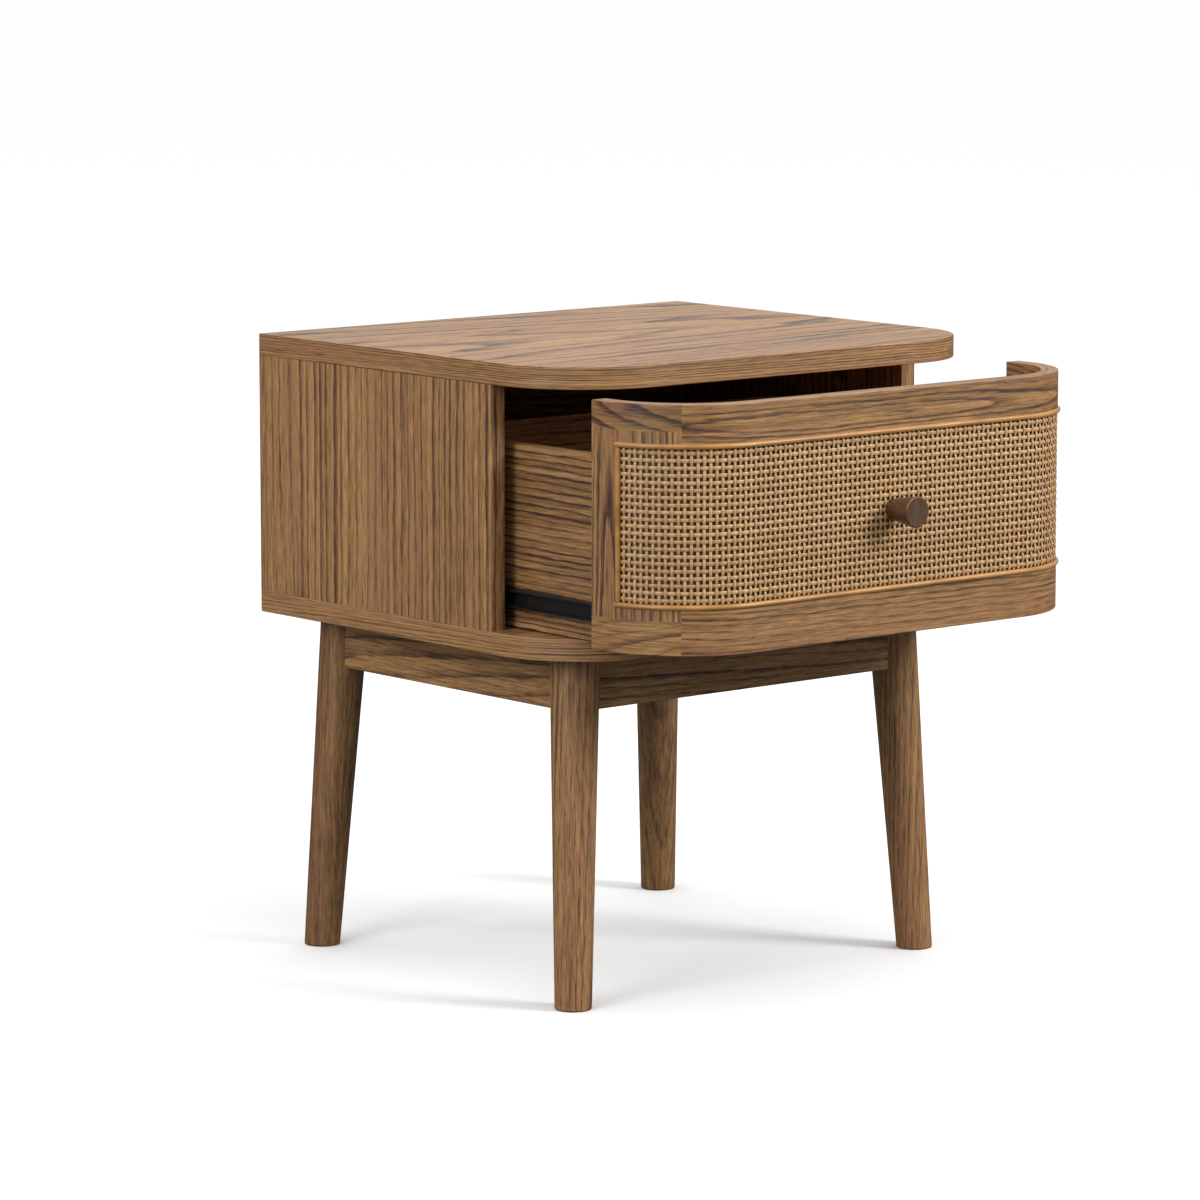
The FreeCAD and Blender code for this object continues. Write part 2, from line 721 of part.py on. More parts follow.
def knob():
    """Turned knob that widens towards its face, with a small bevel round the rim."""
    body = doc.addObject("PartDesign::Body", "knob_turned")
    profile = sketch_on(body, "knob_profile", "XZ_Plane")
    draw(profile, [
        ("0", "0"),
        ("Sizes.knob_base_radius", "0"),
        ("Sizes.knob_face_radius", "Sizes.knob_length - Sizes.knob_rim"),
        ("Sizes.knob_face_radius - Sizes.knob_rim", "Sizes.knob_length"),
        ("0", "Sizes.knob_length"),
    ])
    turned = body.newObject("PartDesign::Revolution", "knob_turning")
    turned.Profile = profile
    turned.ReferenceAxis = (profile, ["V_Axis"])
    turned.Angle = 360
    put(body, "0", "Places.drawer_y + Sizes.bead_radius - Sizes.cane_thickness", "Places.knob_z",
        FreeCAD.Vector(0, -1, 0))
    return body


# Drawer box

def inside_shell_y(x, radius):
    """Y at which a circle of the given radius about a corner's centre has the given distance from X = 0."""
    return f"Places.shell_arc_y - sqrt(({radius})^2 - ({x} - Places.arc_x)^2)"


def bottom_groove(body, outline):
    groove = sketch_on(body, f"{body.Name}_groove", offset="Sizes.bottom_lift")
    draw(groove, outline)
    pocket(body, groove, "Sizes.bottom_thickness", True)


def drawer_side(name, side):
    """Its front end follows the inside of the curved front."""
    outer, inner = f"{side} * Places.box_x", f"{side} * Places.box_inner_x"
    radius = "Places.inner_radius"
    outline = [
        (inner, "Places.box_rear_y"),
        (inner, inside_shell_y("Places.box_inner_x", radius)),
        (outer, inside_shell_y("Places.box_x", radius), *shell_centre(side), radius),
        (outer, "Places.box_rear_y"),
    ]
    body = extruded(name, outline, "Places.shell_z", "Places.box_height")
    round_edges(body, long_edges(body, body.Shape.BoundBox.ZMax))
    across = sorted((inner, f"{side} * (Places.box_inner_x + Sizes.bottom_groove)"), key=number)
    bottom_groove(body, rectangle(*across, "Places.drawer_y", "Places.box_rear_y"))
    return body


def cross_board(name, outline, groove_low, groove_high):
    """A board across the box, rounded along its top, with a groove for the drawer bottom."""
    body = extruded(name, outline, "Places.shell_z", "Places.box_height")
    round_edges(body, long_edges(body, body.Shape.BoundBox.ZMax))
    bottom_groove(body, rectangle("-Places.box_inner_x", "Places.box_inner_x", groove_low, groove_high))
    return body


def box_front():
    """Screwed to the back of the drawer front, with its ends shaped to the curve of the corners."""
    radius = "Places.inner_radius"
    half = f"(Places.arc_x + sqrt({radius}^2 - ({radius} - Sizes.box_thickness)^2))"
    outline = [
        (f"-{half}", "Places.box_front_y"),
        ("-Places.arc_x", "Places.shell_inner_y", *shell_centre(LEFT), radius),
        ("Places.arc_x", "Places.shell_inner_y"),
        (half, "Places.box_front_y", *shell_centre(RIGHT), radius),
    ]
    return cross_board("box_front_blank", outline, "Places.box_front_y - Sizes.bottom_groove",
                       "Places.box_front_y")


def box_back():
    inner_face = "Places.box_rear_y - Sizes.box_thickness"
    outline = rectangle("-Places.box_inner_x", "Places.box_inner_x", inner_face, "Places.box_rear_y")
    return cross_board("box_back_blank", outline, inner_face, f"{inner_face} + Sizes.bottom_groove")


def drawer_bottom():
    """Thin board in the grooves, rounded where the curved front passes its corners."""
    reach = "(Sizes.bottom_groove - Sizes.bottom_play)"
    half = f"(Places.box_inner_x + {reach})"
    front = f"Places.box_front_y - {reach}"
    radius = "Places.inner_radius - Sizes.bottom_play"
    front_half = f"(Places.arc_x + sqrt(({radius})^2 - (Places.shell_arc_y - ({front}))^2))"
    side_y = inside_shell_y(half, radius)
    rear = f"Places.box_rear_y - Sizes.box_thickness + {reach}"
    outline = [
        (half, rear),
        (f"-{half}", rear),
        (f"-{half}", side_y),
        (f"-{front_half}", front, *shell_centre(LEFT), radius),
        (front_half, front),
        (half, side_y, *shell_centre(RIGHT), radius),
    ]
    return extruded("drawer_bottom", outline, "Places.box_bottom_z", "Sizes.bottom_thickness")


def corner_post(name, side):
    """Glue block in a front corner of the box: a square post trimmed to the curve of the front."""
    post = doc.addObject("Part::Box", f"{name}_square")
    bind(post, Length="Sizes.post_width",
         Width="Places.post_dowel_y + Sizes.post_margin - Places.box_front_y",
         Height="Places.box_top_z - Places.floor_z")
    x = "Places.box_inner_x - Sizes.post_width" if side == RIGHT else "-Places.box_inner_x"
    put(post, x, "Places.box_front_y", "Places.floor_z")
    curve = rod(f"{name}_curve", "Places.inner_radius", "Places.box_height",
                *shell_centre(side), "Places.shell_z")
    trimmed = doc.addObject("Part::Common", name)
    trimmed.Base = post
    trimmed.Tool = curve
    return trimmed


def box_heights():
    return ["Places.floor_z + Sizes.box_dowel_margin", "Places.box_top_z - Sizes.box_dowel_margin"]


def box_dowels():
    """Dowels from each side of the box into its back and its corner posts."""
    dowels = []
    rows = ["Places.box_rear_y - Sizes.box_thickness / 2", "Places.post_dowel_y"]
    for side_name, side in SIDES.items():
        for row, y in enumerate(rows):
            for index, z in enumerate(box_heights()):
                dowels.append(rod(f"box_dowel_{side_name}_{row}_{index}", "Sizes.box_dowel_radius",
                                  "Sizes.dowel_length",
                                  f"{side} * (Places.box_inner_x + Sizes.box_dowel_bite)", y, z,
                                  along_x(-side)))
    return group("Part::MultiFuse", "box_dowels", dowels)


def front_screws():
    """Four screws through the box front into the drawer front."""
    parts = []
    for side_name, side in SIDES.items():
        for index, z in enumerate(box_heights()):
            parts += screw(f"front_screw_{side_name}_{index}", "Sizes.box_thickness + Sizes.screw_bite",
                           f"{side} * Sizes.front_screw_spacing / 2", "Places.box_front_y", z,
                           FreeCAD.Vector(0, -1, 0))
    return group("Part::MultiFuse", "front_screws", parts)


def knob_screw():
    length = "Sizes.box_thickness + Sizes.front_thickness + Sizes.knob_bite"
    parts = screw("knob_machine_screw", length, "0", "Places.box_front_y", "Places.knob_z",
                  FreeCAD.Vector(0, -1, 0))
    return group("Part::MultiFuse", "knob_screw", parts)


# Slides

def bent_strip(name, back_x, open_x, half_height, sheet_size, y_front, length):
    """A U-shaped strip along Y: its back at back_x, open towards open_x."""
    turn = 1 if number(open_x) > number(back_x) else -1
    inner_x, inner_half = f"{back_x} + {turn} * {sheet_size}", f"({half_height} - {sheet_size})"
    outline = [
        (back_x, f"-({half_height})"),
        (open_x, f"-({half_height})"),
        (open_x, f"-{inner_half}"),
        (inner_x, f"-{inner_half}"),
        (inner_x, inner_half),
        (open_x, inner_half),
        (open_x, half_height),
        (back_x, half_height),
    ]
    body = doc.addObject("PartDesign::Body", name)
    sketch = sketch_on(body, f"{name}_section", "XZ_Plane", f"-({length})")
    draw(sketch, outline)
    pad(body, sketch, length)
    put(body, y=y_front, z="Places.slide_z")
    return body


def slide_channel(name, side):
    return bent_strip(name, f"{side} * Places.side_x", f"{side} * (Places.side_x - Sizes.channel_depth)",
                      "Sizes.channel_height / 2", "Sizes.sheet", "Places.channel_y", "Places.slide_length")


def slide_runner(name, side):
    return bent_strip(name, f"{side} * Places.box_x", f"{side} * (Places.box_x + Sizes.runner_depth)",
                      "Sizes.runner_height / 2", "Sizes.sheet", "Places.runner_y", "Places.slide_length")


def ball_cage(name, side):
    """Retainer that runs between the channel and the runner, with a row of ball holes above and below."""
    back_x = f"{side} * (Places.side_x - Sizes.cage_gap)"
    open_x = f"{side} * (Places.side_x - Sizes.cage_gap - Sizes.cage_depth)"
    body = bent_strip(name, back_x, open_x, "(Places.cage_z + Sizes.cage_sheet)", "Sizes.cage_sheet",
                      "Places.cage_y", "Sizes.cage_length")
    hole = sketch_on(body, f"{name}_hole", offset="Places.cage_z + 2 * Sizes.cage_sheet")
    draw_circle(hole, f"{side} * Places.ball_x", "Places.ball_pitch / 2",
                "Sizes.ball_radius + Sizes.ball_hole_play")
    first = pocket(body, hole, "2 * Places.cage_z + 4 * Sizes.cage_sheet")
    holes = body.newObject("PartDesign::LinearPattern", f"{name}_holes")
    holes.Originals = [first]
    axis = next(item for item in body.Origin.OriginFeatures if item.Role == "Y_Axis")
    holes.Direction = (axis, [""])
    bind(holes, Length="Sizes.cage_length - Places.ball_pitch", Occurrences="Sizes.ball_count")
    body.Tip = holes
    doc.recompute()
    cuts.append((f"{name} pattern", first.Shape.Volume, body.Shape.Volume))
    return body


def slide_balls(name, side):
    balls = []
    for index in range(round(number("Sizes.ball_count"))):
        for row in (-1, 1):
            ball = doc.addObject("Part::Sphere", f"{name}_{index}_{row + 1}")
            bind(ball, Radius="Sizes.ball_radius")
            put(ball, f"{side} * Places.ball_x", f"Places.cage_y + ({index} + 0.5) * Places.ball_pitch",
                f"Places.slide_z + {row} * Places.ball_z")
            balls.append(ball)
    return group("Part::Compound", name, balls)


def slide_screws(name, x, start_y, outward):
    """Screws along each side, with their flat heads at x and their shanks outwards or inwards."""
    parts = []
    for side_name, side in SIDES.items():
        for index in range(round(number("Sizes.slide_screw_count"))):
            y = f"{start_y} + Sizes.slide_screw_first + {index} * Sizes.slide_screw_pitch"
            parts += screw(f"{name}_{side_name}_{index}", "Sizes.slide_screw_length", f"{side} * ({x})", y,
                           "Places.slide_z", along_x(side * outward))
    return group("Part::MultiFuse", name, parts)


# Assembly

def build_cabinet():
    dowels = keep(panel_dowels(), "panel_dowels")
    bolts = keep(cam_bolts(), "cam_bolts")
    cams = keep(cam_discs(bolts), "cam_discs")
    channel_screws = keep(slide_screws("channel_screws", "Places.side_x - Sizes.sheet",
                                       "Places.channel_y", 1), "channel_screws")
    corners = [(f"{row}_{side_name}", side, row, inward)
               for row, inward in (("front", 1), ("back", -1)) for side_name, side in SIDES.items()]
    hanger_parts = [hanger_bolt(f"hanger_{name}", *corner) for name, *corner in corners]
    hangers = keep(group("Part::MultiFuse", "hanger_bolts", hanger_parts), "hanger_bolts")
    nut_parts = [part for name, *corner in corners for part in flange_nut(f"nut_{name}", *corner)]
    keep(subtract("drilled_nuts", group("Part::MultiFuse", "nut_blanks", nut_parts), hangers), "hanger_nuts")
    screw_parts = [part for name, *corner in corners for part in block_screws(f"block_screw_{name}", *corner)]
    frame_screws = keep(group("Part::MultiFuse", "frame_screws", screw_parts), "frame_screws")
    dowel_parts = [part for name, *corner in corners for part in apron_dowels(f"apron_dowel_{name}", *corner)]
    frame_dowels = keep(group("Part::MultiFuse", "frame_dowels", dowel_parts), "frame_dowels")

    panel_fittings = group("Part::Compound", "panel_fittings",
                           [dowels, bolts, cams, channel_screws, frame_screws])
    blanks = {
        "top_panel": horizontal_panel("top_blank", "Places.top_z", "0", True),
        "bottom_panel": horizontal_panel("bottom_blank", "Sizes.leg_height", "Sizes.panel_thickness", False),
        "left_side_panel": side_panel("left_side_blank", LEFT),
        "right_side_panel": side_panel("right_side_blank", RIGHT),
        "left_slide_channel": slide_channel("left_channel_blank", LEFT),
        "right_slide_channel": slide_channel("right_channel_blank", RIGHT),
    }
    for label, blank in blanks.items():
        keep(subtract(f"drilled_{label}", blank, panel_fittings), label)
    keep(back_panel(), "back_panel")

    frame_fittings = group("Part::Compound", "frame_fittings", [hangers, frame_screws, frame_dowels])
    legs = []
    for name, side, row, inward in corners:
        blank = leg(f"leg_{name}", side, row)
        legs.append(blank)
        keep(subtract(f"drilled_leg_{name}", blank, frame_fittings), f"{name}_leg")
        block = corner_block(f"block_{name}", side, row, inward)
        keep(subtract(f"drilled_block_{name}", block, frame_fittings), f"{name}_corner_block")
    all_legs = group("Part::Compound", "all_legs", legs)
    aprons = {
        "front_apron": cross_apron_outline("front", -1),
        "back_apron": cross_apron_outline("back", 1),
        "left_apron": side_apron_outline(LEFT),
        "right_apron": side_apron_outline(RIGHT),
    }
    for label, outline in aprons.items():
        drilled = subtract(f"drilled_{label}", apron(f"{label}_blank", outline), frame_fittings)
        keep(subtract(f"coped_{label}", drilled, all_legs), label)


def build_drawer():
    screws = keep(front_screws(), "front_screws")
    machine_screw = keep(knob_screw(), "knob_screw")
    dowels = keep(box_dowels(), "box_dowels")
    runner_screws = keep(slide_screws("runner_screws", "Places.box_x + Sizes.sheet", "Places.runner_y", -1),
                         "runner_screws")
    fittings = group("Part::Compound", "drawer_fittings", [screws, machine_screw, dowels, runner_screws])

    blanks = {
        "drawer_front_board": front_board(),
        "cane_webbing": cane_webbing(),
        "knob": knob(),
        "drawer_box_front": box_front(),
        "drawer_back": box_back(),
    }
    for side_name, side in SIDES.items():
        blanks[f"{side_name}_drawer_side"] = drawer_side(f"{side_name}_drawer_side_blank", side)
        blanks[f"{side_name}_corner_post"] = corner_post(f"{side_name}_post_blank", side)
        blanks[f"{side_name}_slide_runner"] = slide_runner(f"{side_name}_runner_blank", side)
        keep(corner_panel(f"{side_name}_panel", side), f"{side_name}_corner_panel")
        keep(corner_rail(f"{side_name}_top_rail", side,
                         "Places.shell_z + Places.shell_height - Sizes.top_rail_height",
                         "Sizes.top_rail_height", True), f"{side_name}_corner_top_rail")
        keep(corner_rail(f"{side_name}_bottom_rail", side, "Places.shell_z",
                         "Sizes.bottom_rail_height", False), f"{side_name}_corner_bottom_rail")
        keep(short_bead(f"{side_name}_bead", side), f"{side_name}_bead")
    for label, blank in blanks.items():
        keep(subtract(f"drilled_{label}", blank, fittings), label)
    keep(long_bead("top_bead", "Places.bead_high_z"), "top_bead")
    keep(long_bead("bottom_bead", "Places.bead_low_z"), "bottom_bead")
    keep(drawer_bottom(), "drawer_bottom")


def build_cages():
    for side_name, side in SIDES.items():
        keep(ball_cage(f"{side_name}_cage", side), f"{side_name}_ball_cage")
        keep(slide_balls(f"{side_name}_balls", side), f"{side_name}_slide_balls")


def check_and_write():
    doc.recompute()
    failed = [item.Label for item in doc.Objects if {"Invalid", "Error"} & set(item.State)]
    failed += [node.Label for node in nodes if node.Shape.isNull() or not node.Shape.isValid()]
    failed += [name for name, before, after in cuts if after > before - 1e-3]
    if failed:
        raise RuntimeError(f"these did not build: {failed}")
    os.makedirs("parts", exist_ok=True)
    for node in nodes:
        node.Shape.exportStep(f"parts/{node.Label}.step")
    print(f"{len(nodes)} sub-parts written")


build_cabinet()
build_drawer()
build_cages()
check_and_write()
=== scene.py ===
import math
import random

import bpy
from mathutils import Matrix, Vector


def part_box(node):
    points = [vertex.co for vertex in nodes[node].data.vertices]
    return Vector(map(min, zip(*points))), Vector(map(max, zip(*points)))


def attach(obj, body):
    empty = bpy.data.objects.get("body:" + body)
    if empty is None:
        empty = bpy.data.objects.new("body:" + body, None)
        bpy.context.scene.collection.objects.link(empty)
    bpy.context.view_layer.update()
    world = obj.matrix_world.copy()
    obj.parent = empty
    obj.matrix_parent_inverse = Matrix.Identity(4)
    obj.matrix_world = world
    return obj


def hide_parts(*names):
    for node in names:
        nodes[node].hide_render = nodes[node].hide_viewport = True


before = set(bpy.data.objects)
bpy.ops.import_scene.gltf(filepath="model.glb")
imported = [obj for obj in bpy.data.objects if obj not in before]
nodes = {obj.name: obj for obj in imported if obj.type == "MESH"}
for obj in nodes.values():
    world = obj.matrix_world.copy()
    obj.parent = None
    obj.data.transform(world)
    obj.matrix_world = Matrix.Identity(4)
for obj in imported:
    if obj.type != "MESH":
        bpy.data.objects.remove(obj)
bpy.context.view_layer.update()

mm = 0.001
print("frame loaded:", len(nodes), "nodes")


# the rounded outline that the panels and the drawer front share, read from the frame

panelLow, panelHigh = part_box("top_panel")
frontLow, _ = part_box("drawer_front_board")
caneLow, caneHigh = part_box("cane_webbing")
outline = {
    "cornerRadius": 84 * mm,
    "halfWidth": panelHigh[0],
    "panelFront": panelLow[1],
    "drawerFront": frontLow[1],
}
# from the middle to where a corner starts
outline["straight"] = outline["halfWidth"] - outline["cornerRadius"]
beadLow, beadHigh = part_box("right_bead")
beadX = (beadLow[0] + beadHigh[0]) / 2
# how far round a corner the end beads sit
outline["beadTurn"] = math.asin((beadX - outline["straight"]) / outline["cornerRadius"])


# shader building: sums on a Wire add Math nodes, and every node comes from Maker.add

class Wire:
    def __init__(self, maker, socket):
        self.maker, self.socket = maker, socket

    def math(self, operation, *others):
        return self.maker.sum(operation, self, *others)

    def __add__(self, other): return self.math("ADD", other)
    def __radd__(self, other): return self.maker.sum("ADD", other, self)
    def __sub__(self, other): return self.math("SUBTRACT", other)
    def __rsub__(self, other): return self.maker.sum("SUBTRACT", other, self)
    def __mul__(self, other): return self.math("MULTIPLY", other)
    def __rmul__(self, other): return self.maker.sum("MULTIPLY", other, self)
    def __truediv__(self, other): return self.math("DIVIDE", other)
    def __rtruediv__(self, other): return self.maker.sum("DIVIDE", other, self)
    def __abs__(self): return self.math("ABSOLUTE")

    def atLeast(self, low): return self.math("MAXIMUM", low)
    def atMost(self, high): return self.math("MINIMUM", high)
    def clamped(self): return self.atLeast(0).atMost(1)
    def root(self): return self.math("SQRT")
    def sign(self): return self.math("SIGN")
    def above(self, limit): return self.math("GREATER_THAN", limit)


class Maker:
    def __init__(self, name, shelf=bpy.data.materials):
        self.made = shelf.new(name)
        self.made.use_nodes = True
        self.tree = self.made.node_tree
        self.tree.nodes.clear()

    def add(self, kind, settings=None, inputs=None, output=0):
        node = self.tree.nodes.new(kind)
        for name, value in (settings or {}).items():
            if name == "stops":
                while len(node.color_ramp.elements) < len(value):
                    node.color_ramp.elements.new(0.5)
                for stop, (place, colour) in zip(node.color_ramp.elements, value):
                    stop.position, stop.color = place, colour
            else:
                setattr(node, name, value)
        for name, value in (inputs or {}).items():
            if isinstance(value, Wire):
                self.tree.links.new(value.socket, node.inputs[name])
            else:
                node.inputs[name].default_value = value
        return Wire(self, node.outputs[output]) if len(node.outputs) else node

    def sum(self, operation, *values):
        return self.add("ShaderNodeMath", {"operation": operation}, dict(enumerate(values)))

    def vector(self, operation, one, other):
        return self.add("ShaderNodeVectorMath", {"operation": operation}, {0: one, 1: other})

    def split(self, vector):
        source = self.add("ShaderNodeSeparateXYZ", None, {"Vector": vector}).socket.node
        return [Wire(self, socket) for socket in source.outputs]

    def join(self, x, y, z):
        return self.add("ShaderNodeCombineXYZ", None, {"X": x, "Y": y, "Z": z})

    def place(self):
        return self.add("ShaderNodeTexCoord", None, None, "Object")

    def noise(self, vector, stretch, detail=2.0, roughness=0.5):
        stretched = self.vector("MULTIPLY", vector, stretch)
        return self.add("ShaderNodeTexNoise", None, {"Vector": stretched, "Scale": 1.0, "Detail": detail,
                                                     "Roughness": roughness})

    # a Mix node has its colour sockets at 6 and 7, its vector sockets at 4 and 5
    def blend(self, amount, one, other):
        return self.add("ShaderNodeMix", {"data_type": "RGBA"}, {0: amount, 6: one, 7: other}, 2)

    def mixVector(self, amount, one, other):
        return self.add("ShaderNodeMix", {"data_type": "VECTOR"}, {0: amount, 4: one, 5: other}, 1)

    def finish(self, colour, roughness, height=None, bump=0.2, depth=0.0005, **fixed):
        inputs = {"Base Color": colour, "Roughness": roughness}
        inputs.update({name.replace("_", " "): value for name, value in fixed.items()})
        if height is not None:
            inputs["Normal"] = self.add("ShaderNodeBump", None,
                                        {"Strength": bump, "Distance": depth, "Height": height})
        shader = self.add("ShaderNodeBsdfPrincipled", None, inputs)
        self.add("ShaderNodeOutputMaterial", None, {"Surface": shader})
        return self.made


def linear(red, green, blue):
    # a colour as a paint chart gives it, in 0 to 255, as the renderer wants it
    shares = [channel / 255 for channel in (red, green, blue)]
    return (*(share / 12.92 if share < 0.04 else ((share + 0.055) / 1.055) ** 2.4 for share in shares), 1)


# wood: grain coordinates are (along, across, through), in metres

def flatGrain(maker, order):
    parts = dict(zip("xyz", maker.split(maker.place())))
    return maker.join(*(parts[letter] for letter in order))


def roundOutline(maker, front):
    # distance along the rounded outline from its middle, and depth under its surface
    x, y, z = maker.split(maker.place())
    beyond = (abs(x) - outline["straight"]).atLeast(0)
    ahead = (front + outline["cornerRadius"] - y).atLeast(0)
    turn = beyond.math("ARCTAN2", ahead)
    behind = (y - (front + outline["cornerRadius"])).atLeast(0)
    run = (abs(x).atMost(outline["straight"]) + turn * outline["cornerRadius"] + behind) * x.sign()
    depth = outline["cornerRadius"] - (beyond * beyond + ahead * ahead).root()
    return run, z, depth


def roundGrain(maker, front, upright=False):
    run, z, depth = roundOutline(maker, front)
    return maker.join(z, run, depth) if upright else maker.join(run, z, depth)


edgeBand = {
    "thickness": 0.5 * mm,
    "squeeze": (1, 2.4, 1),  # its grain is finer up the edge than the faces' is across
}


def panelGrain(maker, front):
    # the faces run across the table, and the edges have a band whose grain follows the outline
    _, _, depth = roundOutline(maker, front)
    face = flatGrain(maker, "xyz")
    edge = maker.vector("MULTIPLY", roundGrain(maker, front), edgeBand["squeeze"])
    return maker.mixVector(depth.above(edgeBand["thickness"]), edge, face)


woodLook = {
    "pale": linear(196, 152, 100),
    "golden": linear(163, 122, 76),
    "brown": linear(122, 88, 57),
    "dark": linear(68, 47, 38),
    "blush": linear(160, 108, 80),   # a redder tint that comes and goes
    "ringWidth": 5.5 * mm,
    "wave": 9 * mm,                 # how far the rings swing across a board
    "wobble": 1.6 * mm,             # the same over a few centimetres
    "jag": 1.3 * mm,                # and over a few millimetres
    "lineDepth": 0.55,
    "streakDepth": 1.25,
    "fibreDepth": 1.4,
    "poreDepth": 0.72,
    "blushDepth": 0.75,
    "roughness": 0.42,
}

rawLook = {
    "pale": linear(214, 184, 140),
    "golden": linear(200, 166, 120),
    "brown": linear(178, 142, 98),
    "dark": linear(140, 106, 70),
    "blush": linear(196, 158, 120),
    "roughness": 0.6,
    "poreDepth": 0.25,
}

woodScale = {
    # how many times each pattern comes in a metre: along, across and through a board
    "wave": (2.1, 9, 9),
    "wobble": (16, 60, 60),
    "jag": (45, 420, 420),
    "spacing": (0.5, 26, 26),
    "fade": (7, 70, 70),
    "streak": (4.5, 210, 210),
    "fibre": (52, 780, 780),
    "pore": (52, 640, 640),
    "cloud": (1.6, 12, 12),
    "blush": (1.1, 22, 22),
}


def woodMaterial(name, grainOf, seed, pith=(0.5, 0.1), lean=0.0, **changes):
    look = dict(woodLook, **changes)
    maker = Maker(name)
    flat = grainOf(maker)
    grain = maker.vector("ADD", flat, (seed * 1.37, seed * 0.713, seed * 0.531))
    along, across, through = maker.split(flat)
    wave = maker.noise(grain, woodScale["wave"]) - 0.5
    wobble = maker.noise(grain, woodScale["wobble"]) - 0.5
    jag = maker.noise(grain, woodScale["jag"]) - 0.5
    aside = (across - pith[0] + wave * (2 * look["wave"]) + wobble * (2 * look["wobble"])
             + jag * (2 * look["jag"]))
    below = through + along * lean - pith[1]
    count = (aside * aside + below * below).root() / look["ringWidth"]
    count = count + (maker.noise(grain, woodScale["spacing"], 1) - 0.5) * 2.5  # wide and narrow rings
    ring = count.math("FRACT")
    year = maker.add("ShaderNodeTexWhiteNoise", {"noise_dimensions": "1D"}, {"W": count.math("FLOOR")})
    fade = (maker.noise(grain, woodScale["fade"]) * 2.6 - 0.45).clamped()  # lines come and go along a board
    line = ((1 - ring / (0.18 + year * 0.36)).clamped() + (ring * 12 - 11).clamped()) * (0.25 + fade * 0.85)
    streak = maker.noise(grain, woodScale["streak"], 4, 0.72) - 0.5
    fibre = maker.noise(grain, woodScale["fibre"], 3, 0.7) - 0.5
    pore = ((maker.noise(grain, woodScale["pore"], 1) - 0.5) * 7).clamped() * (0.28 + line * 0.72)
    cloud = maker.noise(grain, woodScale["cloud"]) - 0.5
    tone = (0.34 + line * look["lineDepth"] * (0.4 + year * 0.9) + streak * look["streakDepth"]
            + fibre * look["fibreDepth"] + cloud * 0.35).clamped()
    colour = maker.add("ShaderNodeValToRGB", {"stops": [
        (0.05, look["pale"]), (0.36, look["golden"]), (0.64, look["brown"]), (1.0, look["dark"]),
    ]}, {"Fac": tone})
    blush = (maker.noise(grain, woodScale["blush"]) - 0.42) * 4
    colour = maker.blend(blush.clamped() * look["blushDepth"] * (1 - tone), colour, look["blush"])
    colour = maker.blend(pore * look["poreDepth"], colour, look["dark"])
    if "shade" in look:
        colour = maker.blend(look["shade"](maker), colour, look["shadeColour"])
    roughness = look["roughness"] + fibre * 0.25 + pore * 0.2
    height = 0.6 - pore * 0.5 - line * 0.2 + fibre * 0.3
    return maker.finish(colour, roughness, height, bump=0.4, depth=0.25 * mm)


def paint(material, *names):
    for name in names:
        node = nodes[name]
        node.data.materials.clear()
        node.data.materials.append(material)


# painted shade: the floor of the recess behind the cane is darkened in place of the shadow seen through the
# weave's holes
caneField = {
    "paintedShade": linear(24, 16, 12),
    "strength": 0.85,
    "margin": 2 * mm,    # how far the painted shade reaches past the cane
    "start": 1 * mm,     # the painted shade lies between these depths, on the floor of the field
    "end": 6 * mm,
}


def caneFieldShade(maker):
    _, z, depth = roundOutline(maker, outline["drawerFront"])
    beside = z.above(caneLow[2] - caneField["margin"]) * (1 - z.above(caneHigh[2] + caneField["margin"]))
    behind = depth.above(caneField["start"]) * (1 - depth.above(caneField["end"]))
    return beside * behind * caneField["strength"]


def front(maker): return roundGrain(maker, outline["drawerFront"])
def frontUpright(maker): return roundGrain(maker, outline["drawerFront"], upright=True)
def panel(maker): return panelGrain(maker, outline["panelFront"])
def acrossX(maker): return flatGrain(maker, "xzy")
def backwards(maker): return flatGrain(maker, "yzx")
def upright(maker): return flatGrain(maker, "zyx")
def uprightRound(maker): return flatGrain(maker, "zxy")
def layingBack(maker): return flatGrain(maker, "yxz")
